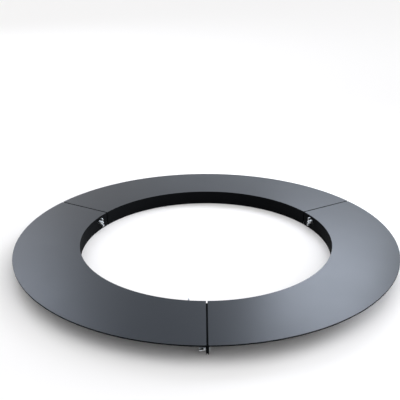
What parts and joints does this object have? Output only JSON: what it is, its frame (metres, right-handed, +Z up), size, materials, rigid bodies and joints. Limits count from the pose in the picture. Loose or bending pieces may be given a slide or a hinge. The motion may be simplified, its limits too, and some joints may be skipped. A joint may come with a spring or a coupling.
{
  "type": "tree ring edging",
  "caption": "Flat powder-coated steel ring with an upright inner collar, bolted together from segments with wing nuts around a standing tree to edge its planting bed.",
  "frame": {"origin": "middle of the ring on the ground it rests on", "axes": "+Z up, -Y to the front, where one seam lies, +X to the right"},
  "size_m": [1, 0.9999, 0.04],
  "materials": {
    "coated_steel": "satin anthracite powder coat",
    "zinc_plated_steel": "bright zinc plating"
  },
  "bodies": {
    "ring": {"front_right_plate": "coated_steel", "front_right_collar": "coated_steel", "back_plate": "coated_steel", "back_collar": "coated_steel", "front_left_plate": "coated_steel", "front_left_collar": "coated_steel", "front_lap_plate": "coated_steel", "front_seam_bar_front_right": "coated_steel", "front_seam_bar_front_left": "coated_steel", "front_bar_spacer": "coated_steel", "front_lap_bolt": "zinc_plated_steel", "front_bar_bolt": "zinc_plated_steel", "back_right_lap_plate": "coated_steel", "back_right_seam_bar_back": "coated_steel", "back_right_seam_bar_front_right": "coated_steel", "back_right_bar_spacer": "coated_steel", "back_right_lap_bolt": "zinc_plated_steel", "back_right_bar_bolt": "zinc_plated_steel", "back_left_lap_plate": "coated_steel", "back_left_seam_bar_front_left": "coated_steel", "back_left_seam_bar_back": "coated_steel", "back_left_bar_spacer": "coated_steel", "back_left_lap_bolt": "zinc_plated_steel", "back_left_bar_bolt": "zinc_plated_steel"},
    "front_lap_washer": {"front_lap_washer": "zinc_plated_steel"},
    "front_lap_wing_nut": {"front_lap_wing_nut": "zinc_plated_steel"},
    "front_bar_washer": {"front_bar_washer": "zinc_plated_steel"},
    "front_bar_wing_nut": {"front_bar_wing_nut": "zinc_plated_steel"},
    "back_right_lap_washer": {"back_right_lap_washer": "zinc_plated_steel"},
    "back_right_lap_wing_nut": {"back_right_lap_wing_nut": "zinc_plated_steel"},
    "back_right_bar_washer": {"back_right_bar_washer": "zinc_plated_steel"},
    "back_right_bar_wing_nut": {"back_right_bar_wing_nut": "zinc_plated_steel"},
    "back_left_lap_washer": {"back_left_lap_washer": "zinc_plated_steel"},
    "back_left_lap_wing_nut": {"back_left_lap_wing_nut": "zinc_plated_steel"},
    "back_left_bar_washer": {"back_left_bar_washer": "zinc_plated_steel"},
    "back_left_bar_wing_nut": {"back_left_bar_wing_nut": "zinc_plated_steel"}
  },
  "joints": [
    {"name": "front_lap_nut_turn", "type": "hinge", "parent": "front_lap_washer", "child": "front_lap_wing_nut", "pos_m": [-0.03932, -0.32775, 0.026], "axis": [0.1191, 0.9929, 0], "range_deg": [0, 1582.5]},
    {"name": "front_lap_washer_slide", "type": "slide", "parent": "ring", "child": "front_lap_washer", "axis": [0.1191, 0.9929, 0], "range_m": [0, 0.00442]},
    {"name": "front_bar_nut_turn", "type": "hinge", "parent": "front_bar_washer", "child": "front_bar_wing_nut", "pos_m": [0, -0.48, 0.0203], "axis": [-1, 0, 0], "range_deg": [0, 1584]},
    {"name": "front_bar_washer_slide", "type": "slide", "parent": "ring", "child": "front_bar_washer", "axis": [-1, 0, 0], "range_m": [0, 0.00442]},
    {"name": "back_right_lap_nut_turn", "type": "hinge", "parent": "back_right_lap_washer", "child": "back_right_lap_wing_nut", "pos_m": [0.3035, 0.12982, 0.026], "axis": [-0.9194, -0.3933, 0], "range_deg": [0, 1582.5]},
    {"name": "back_right_lap_washer_slide", "type": "slide", "parent": "ring", "child": "back_right_lap_washer", "axis": [-0.9194, -0.3933, 0], "range_m": [0, 0.00442]},
    {"name": "back_right_bar_nut_turn", "type": "hinge", "parent": "back_right_bar_washer", "child": "back_right_bar_wing_nut", "pos_m": [0.41569, 0.24, 0.0203], "axis": [0.5, -0.866, 0], "range_deg": [0, 1584]},
    {"name": "back_right_bar_washer_slide", "type": "slide", "parent": "ring", "child": "back_right_bar_washer", "axis": [0.5, -0.866, 0], "range_m": [0, 0.00442]},
    {"name": "back_left_lap_nut_turn", "type": "hinge", "parent": "back_left_lap_washer", "child": "back_left_lap_wing_nut", "pos_m": [-0.3035, 0.12982, 0.026], "axis": [0.9194, -0.3933, 0], "range_deg": [0, 1582.5]},
    {"name": "back_left_lap_washer_slide", "type": "slide", "parent": "ring", "child": "back_left_lap_washer", "axis": [0.9194, -0.3933, 0], "range_m": [0, 0.00442]},
    {"name": "back_left_bar_nut_turn", "type": "hinge", "parent": "back_left_bar_washer", "child": "back_left_bar_wing_nut", "pos_m": [-0.41569, 0.24, 0.0203], "axis": [-0.5, -0.866, 0], "range_deg": [0, 1584]},
    {"name": "back_left_bar_washer_slide", "type": "slide", "parent": "ring", "child": "back_left_bar_washer", "axis": [-0.5, -0.866, 0], "range_m": [0, 0.00442]}
  ],
  "couplings": [
    {"joint": "front_lap_washer_slide", "follows": "front_lap_nut_turn", "m_per_rad": 0.00015915},
    {"joint": "front_bar_washer_slide", "follows": "front_bar_nut_turn", "m_per_rad": 0.00015915},
    {"joint": "back_right_lap_washer_slide", "follows": "back_right_lap_nut_turn", "m_per_rad": 0.00015915},
    {"joint": "back_right_bar_washer_slide", "follows": "back_right_bar_nut_turn", "m_per_rad": 0.00015915},
    {"joint": "back_left_lap_washer_slide", "follows": "back_left_lap_nut_turn", "m_per_rad": 0.00015915},
    {"joint": "back_left_bar_washer_slide", "follows": "back_left_bar_nut_turn", "m_per_rad": 0.00015915}
  ]
}
